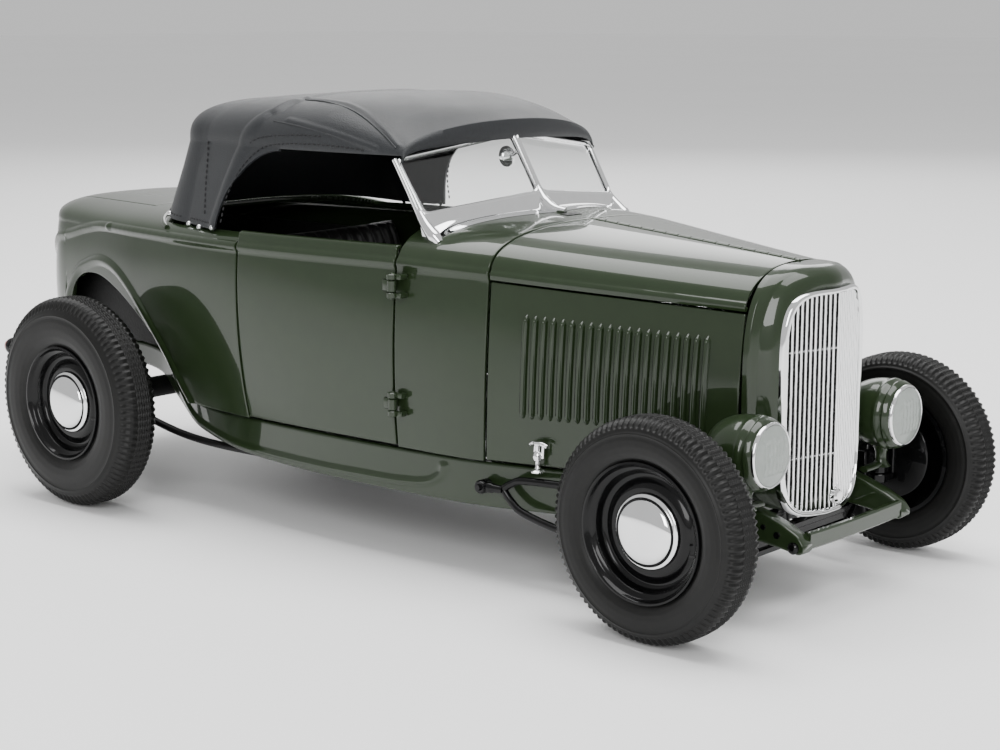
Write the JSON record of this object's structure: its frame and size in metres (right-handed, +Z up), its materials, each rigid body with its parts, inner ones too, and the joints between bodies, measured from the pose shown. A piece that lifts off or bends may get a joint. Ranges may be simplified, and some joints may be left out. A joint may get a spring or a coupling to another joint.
{
  "type": "diecast model car",
  "caption": "Scale model of a fenderless hot-rod roadster with V windshield, lift-off soft top, opening doors, hood and decklid, linked steering and rolling wheels.",
  "frame": {"origin": "centre of the underside of the bounding box, on the surface that the wheels stand on", "axes": "+X to the front of the car, +Y to its left side, +Z up"},
  "size_m": [0.2166, 0.1002, 0.0882],
  "materials": {
    "body_green": "gloss olive green enamel over diecast metal",
    "chassis_black": "gloss black enamel",
    "interior_trim": "satin black moulded trim",
    "seat_vinyl": "black vinyl, soft sheen",
    "top_cloth": "black canvas-grain soft top",
    "chrome": "bright chrome plate",
    "glass": "clear",
    "lamp_lens": "ribbed frosted glass",
    "tail_lens": "gloss red lens",
    "engine_grey": "satin engine paint",
    "bare_alloy": "bare cast aluminium",
    "exhaust_steel": "dull steel",
    "axle_steel": "turned steel",
    "tyre": "black rubber, smooth sidewall",
    "wheel_trim": "gloss black"
  },
  "bodies": {
    "chassis": {"frame_rail_right": "body_green", "frame_rail_left": "body_green", "crossmember_front": "body_green", "crossmember_middle": "chassis_black", "front_spreader_bar": "body_green", "rear_spreader_bar": "body_green", "interior_tub": "interior_trim", "cowl": "body_green", "firewall": "body_green", "rear_body": "body_green", "grille_shell": "body_green", "grille_insert": "chrome", "radiator": "chassis_black", "engine_block": "engine_grey", "cylinder_heads": "bare_alloy", "air_cleaner": "chrome", "exhaust_pipes": "exhaust_steel", "dashboard": "chassis_black", "seat_cushion": "seat_vinyl", "seat_back": "seat_vinyl", "steering_column": "chassis_black", "headlight_bucket_right": "body_green", "headlight_bucket_left": "body_green", "headlight_lens_right": "lamp_lens", "headlight_lens_left": "lamp_lens", "tail_lights": "tail_lens", "windshield_frame": "chrome", "windshield_glass": "glass", "rear_view_mirror": "chrome", "front_axle": "chassis_black", "front_spring": "chassis_black", "hairpin_rods": "chassis_black", "rear_axle_housing": "chassis_black", "hood_hinge_rod": "body_green", "door_hinge_pins": "body_green", "hood_side_right": "body_green", "hood_side_left": "body_green", "hood_latches": "chrome"},
    "door_right": {"door_right": "body_green"},
    "door_left": {"door_left": "body_green"},
    "decklid": {"decklid": "body_green"},
    "hood_right": {"hood_top_right": "body_green"},
    "hood_left": {"hood_top_left": "body_green"},
    "soft_top": {"soft_top": "top_cloth"},
    "spindle_right": {"spindle_right": "chassis_black"},
    "spindle_left": {"spindle_left": "chassis_black"},
    "tie_rod": {"tie_rod": "chassis_black"},
    "steering_wheel": {"steering_wheel": "wheel_trim"},
    "wheel_front_right": {"tyre_front_right": "tyre", "rim_front_right": "chassis_black", "hubcap_front_right": "chrome"},
    "wheel_front_left": {"tyre_front_left": "tyre", "rim_front_left": "chassis_black", "hubcap_front_left": "chrome"},
    "rear_wheels": {"rear_axle_shaft": "axle_steel", "tyre_rear_right": "tyre", "tyre_rear_left": "tyre", "rim_rear_right": "chassis_black", "rim_rear_left": "chassis_black", "hubcaps_rear": "chrome"}
  },
  "joints": [
    {"name": "steering_wheel_turn", "type": "hinge", "parent": "chassis", "child": "steering_wheel", "pos_m": [0.00632, 0.013, 0.0545], "axis": [0.8743, 0, -0.4854], "range_deg": [-80, 80]},
    {"name": "steer_right", "type": "hinge", "parent": "chassis", "child": "spindle_right", "pos_m": [0.08892, -0.0315, 0.01936], "axis": [0, 0, 1], "range_deg": [-16, 16]},
    {"name": "steer_left", "type": "hinge", "parent": "chassis", "child": "spindle_left", "pos_m": [0.08892, 0.0315, 0.01936], "axis": [0, 0, 1], "range_deg": [-16, 16]},
    {"name": "tie_rod_pivot", "type": "hinge", "parent": "spindle_right", "child": "tie_rod", "pos_m": [0.07932, -0.0315, 0.0125], "axis": [0, 0, 1], "range_deg": [-16, 16]},
    {"name": "front_wheel_right_spin", "type": "hinge", "parent": "spindle_right", "child": "wheel_front_right", "pos_m": [0.08892, -0.041, 0.01936], "axis": [0, 1, 0], "continuous": true},
    {"name": "front_wheel_left_spin", "type": "hinge", "parent": "spindle_left", "child": "wheel_front_left", "pos_m": [0.08892, 0.041, 0.01936], "axis": [0, 1, 0], "continuous": true},
    {"name": "rear_wheels_spin", "type": "hinge", "parent": "chassis", "child": "rear_wheels", "pos_m": [-0.06068, 0, 0.02235], "axis": [0, 1, 0], "continuous": true},
    {"name": "door_right_swing", "type": "hinge", "parent": "chassis", "child": "door_right", "pos_m": [0.02362, -0.0353, 0.042], "axis": [0, 0, 1], "range_deg": [0, 65]},
    {"name": "door_left_swing", "type": "hinge", "parent": "chassis", "child": "door_left", "pos_m": [0.02362, 0.0353, 0.042], "axis": [0, 0, -1], "range_deg": [0, 65]},
    {"name": "hood_right_lift", "type": "hinge", "parent": "chassis", "child": "hood_right", "pos_m": [0.04352, 0, 0.0646], "axis": [-0.9961, 0, 0.088], "range_deg": [0, 60]},
    {"name": "hood_left_lift", "type": "hinge", "parent": "chassis", "child": "hood_left", "pos_m": [0.04352, 0, 0.0646], "axis": [0.9961, 0, -0.088], "range_deg": [0, 60]},
    {"name": "decklid_lift", "type": "hinge", "parent": "chassis", "child": "decklid", "pos_m": [-0.06383, 0, 0.0625], "axis": [0, 1, 0], "range_deg": [0, 55]},
    {"name": "soft_top_lift_off", "type": "slide", "parent": "chassis", "child": "soft_top", "axis": [0, 0, 1], "range_m": [0, 0.05]}
  ],
  "couplings": [
    {"joint": "steering_wheel_turn", "follows": "steer_right", "ratio": -5},
    {"joint": "steer_left", "follows": "steer_right", "ratio": 1},
    {"joint": "tie_rod_pivot", "follows": "steer_right", "ratio": -1}
  ]
}
